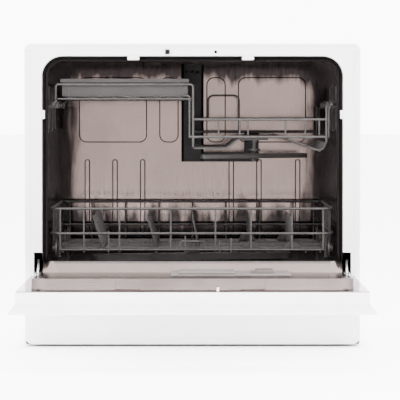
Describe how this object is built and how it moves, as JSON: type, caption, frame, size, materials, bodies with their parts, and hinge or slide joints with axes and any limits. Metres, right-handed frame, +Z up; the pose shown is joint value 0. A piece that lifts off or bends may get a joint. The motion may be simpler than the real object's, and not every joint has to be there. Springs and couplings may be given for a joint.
{
  "type": "countertop dishwasher",
  "caption": "Free-standing countertop dishwasher with a drop-down door, sliding wire racks, cutlery tray, spray arms and wheeled lower rack.",
  "frame": {"origin": "bottom centre of the machine with its door open, on the surface it stands on", "axes": "+Z up, +X to the right seen from the front, -Y out of the tub towards the user"},
  "size_m": [0.55, 0.876, 0.497],
  "materials": {
    "white_enamel": "satin white powder coat",
    "white_plastic": "smooth white moulding",
    "tub_steel": "bright-annealed stainless sheet",
    "hinge_steel": "zinc-plated steel",
    "spring_steel": "spring wire",
    "rack_wire": "grey nylon-coated wire",
    "grey_plastic": "mid grey moulding",
    "dark_plastic": "dark grey moulding",
    "black_plastic": "black moulding",
    "seal_rubber": "dark EPDM",
    "foot_rubber": "dark rubber",
    "galvanised": "galvanised sheet",
    "screen": "smoked window",
    "circuit_board": "green laminate",
    "motor_grey": "dark enamel"
  },
  "bodies": {
    "cabinet": {"base_tray": "dark_plastic", "feet": "foot_rubber", "kick_plate": "white_plastic", "left_side_panel": "white_enamel", "right_side_panel": "white_enamel", "top_cover": "white_plastic", "rear_panel": "galvanised", "rear_screws": "hinge_steel", "front_frame": "white_plastic", "gasket_tabs": "white_plastic", "tub_gasket": "seal_rubber", "tub_shell": "tub_steel", "tub_floor": "tub_steel", "sump": "dark_plastic", "filter_plate": "tub_steel", "lower_arm_bearing": "grey_plastic", "lower_arm_nut": "grey_plastic", "circulation_pump": "motor_grey", "drain_pump": "motor_grey", "water_heater": "hinge_steel", "inlet_valve": "white_plastic", "drain_outlet": "black_plastic", "cord_gland": "black_plastic", "feed_duct": "dark_plastic", "rack_brackets": "grey_plastic", "latch_unit": "black_plastic", "hinge_brackets": "hinge_steel", "hinge_pins": "hinge_steel", "door_springs": "spring_steel"},
    "door": {"door_skin": "white_enamel", "door_console": "white_plastic", "door_liner": "tub_steel", "hinge_arms": "hinge_steel", "door_seal": "seal_rubber", "switch_pin": "white_plastic", "control_board": "circuit_board", "display_window": "screen", "dispenser_body": "grey_plastic"},
    "lower_rack": {"lower_rack_basket": "rack_wire", "tine_clips": "grey_plastic", "wheel_clips": "grey_plastic"},
    "upper_rack": {"upper_rack_basket": "rack_wire", "upper_feed_pipe": "grey_plastic"},
    "lower_arm": {"lower_spray_arm": "grey_plastic"},
    "upper_arm": {"upper_spray_arm": "grey_plastic"},
    "tray": {"cutlery_tray": "grey_plastic"},
    "tines_inner": {"folding_tines_inner": "rack_wire"},
    "tines_outer": {"folding_tines_outer": "rack_wire"},
    "filter": {"filter_cup": "grey_plastic"},
    "latch": {"latch_bolt": "black_plastic"},
    "lid": {"dispenser_lid": "grey_plastic"},
    "rinse_cap": {"rinse_aid_cap": "dark_plastic"},
    "wheel_front_left": {"wheel_front_left": "grey_plastic"},
    "wheel_rear_left": {"wheel_rear_left": "grey_plastic"},
    "wheel_front_right": {"wheel_front_right": "grey_plastic"},
    "wheel_rear_right": {"wheel_rear_right": "grey_plastic"},
    "key_1": {"key_1": "grey_plastic"},
    "key_2": {"key_2": "grey_plastic"},
    "key_3": {"key_3": "grey_plastic"},
    "key_4": {"key_4": "grey_plastic"}
  },
  "joints": [
    {"name": "door_hinge", "type": "hinge", "parent": "cabinet", "child": "door", "pos_m": [0, -0.055, 0.114], "axis": [1, 0, 0], "range_deg": [-90, 0], "deforming": ["door_springs"]},
    {"name": "lower_rack_slide", "type": "slide", "parent": "cabinet", "child": "lower_rack", "axis": [0, -1, 0], "range_m": [0, 0.3]},
    {"name": "upper_rack_slide", "type": "slide", "parent": "cabinet", "child": "upper_rack", "axis": [0, -1, 0], "range_m": [0, 0.22]},
    {"name": "lower_arm_spin", "type": "hinge", "parent": "cabinet", "child": "lower_arm", "pos_m": [0, 0.172, 0.136], "axis": [0, 0, 1], "continuous": true},
    {"name": "upper_arm_spin", "type": "hinge", "parent": "upper_rack", "child": "upper_arm", "pos_m": [0.106, 0.15, 0.31], "axis": [0, 0, 1], "continuous": true},
    {"name": "tray_lift", "type": "slide", "parent": "upper_rack", "child": "tray", "axis": [0, 0, 1], "range_m": [0, 0.025]},
    {"name": "tines_inner_fold", "type": "hinge", "parent": "lower_rack", "child": "tines_inner", "pos_m": [0.097, 0.15, 0.1612], "axis": [0, 1, 0], "range_deg": [-85, 0]},
    {"name": "tines_outer_fold", "type": "hinge", "parent": "lower_rack", "child": "tines_outer", "pos_m": [0.165, 0.15, 0.1612], "axis": [0, 1, 0], "range_deg": [-85, 0]},
    {"name": "filter_twist", "type": "hinge", "parent": "cabinet", "child": "filter", "pos_m": [0.037, 0.172, 0.122], "axis": [0, 0, 1], "range_deg": [0, 90]},
    {"name": "latch_travel", "type": "slide", "parent": "cabinet", "child": "latch", "axis": [0, 1, 0], "range_m": [0, 0.005], "stiffness_N_per_m": 300},
    {"name": "lid_hinge", "type": "hinge", "parent": "door", "child": "lid", "pos_m": [0.022, -0.184, 0.13442], "axis": [1, 0, 0], "range_deg": [-100, 0]},
    {"name": "rinse_cap_twist", "type": "hinge", "parent": "door", "child": "rinse_cap", "pos_m": [0.112, -0.23, 0.133], "axis": [0, 0, 1], "range_deg": [0, 90]},
    {"name": "wheel_front_left_roll", "type": "hinge", "parent": "lower_rack", "child": "wheel_front_left", "pos_m": [-0.226, 0.014, 0.158], "axis": [1, 0, 0], "continuous": true},
    {"name": "wheel_rear_left_roll", "type": "hinge", "parent": "lower_rack", "child": "wheel_rear_left", "pos_m": [-0.226, 0.31, 0.158], "axis": [1, 0, 0], "continuous": true},
    {"name": "wheel_front_right_roll", "type": "hinge", "parent": "lower_rack", "child": "wheel_front_right", "pos_m": [0.226, 0.014, 0.158], "axis": [1, 0, 0], "continuous": true},
    {"name": "wheel_rear_right_roll", "type": "hinge", "parent": "lower_rack", "child": "wheel_rear_right", "pos_m": [0.226, 0.31, 0.158], "axis": [1, 0, 0], "continuous": true},
    {"name": "key_1_press", "type": "slide", "parent": "door", "child": "key_1", "axis": [0, 0, 1], "range_m": [0, 0.0015], "stiffness_N_per_m": 400},
    {"name": "key_2_press", "type": "slide", "parent": "door", "child": "key_2", "axis": [0, 0, 1], "range_m": [0, 0.0015], "stiffness_N_per_m": 400},
    {"name": "key_3_press", "type": "slide", "parent": "door", "child": "key_3", "axis": [0, 0, 1], "range_m": [0, 0.0015], "stiffness_N_per_m": 400},
    {"name": "key_4_press", "type": "slide", "parent": "door", "child": "key_4", "axis": [0, 0, 1], "range_m": [0, 0.0015], "stiffness_N_per_m": 400}
  ],
  "couplings": [
    {"joint": "wheel_front_left_roll", "follows": "lower_rack_slide", "rad_per_m": 55.556},
    {"joint": "wheel_rear_left_roll", "follows": "lower_rack_slide", "rad_per_m": 55.556},
    {"joint": "wheel_front_right_roll", "follows": "lower_rack_slide", "rad_per_m": 55.556},
    {"joint": "wheel_rear_right_roll", "follows": "lower_rack_slide", "rad_per_m": 55.556}
  ]
}
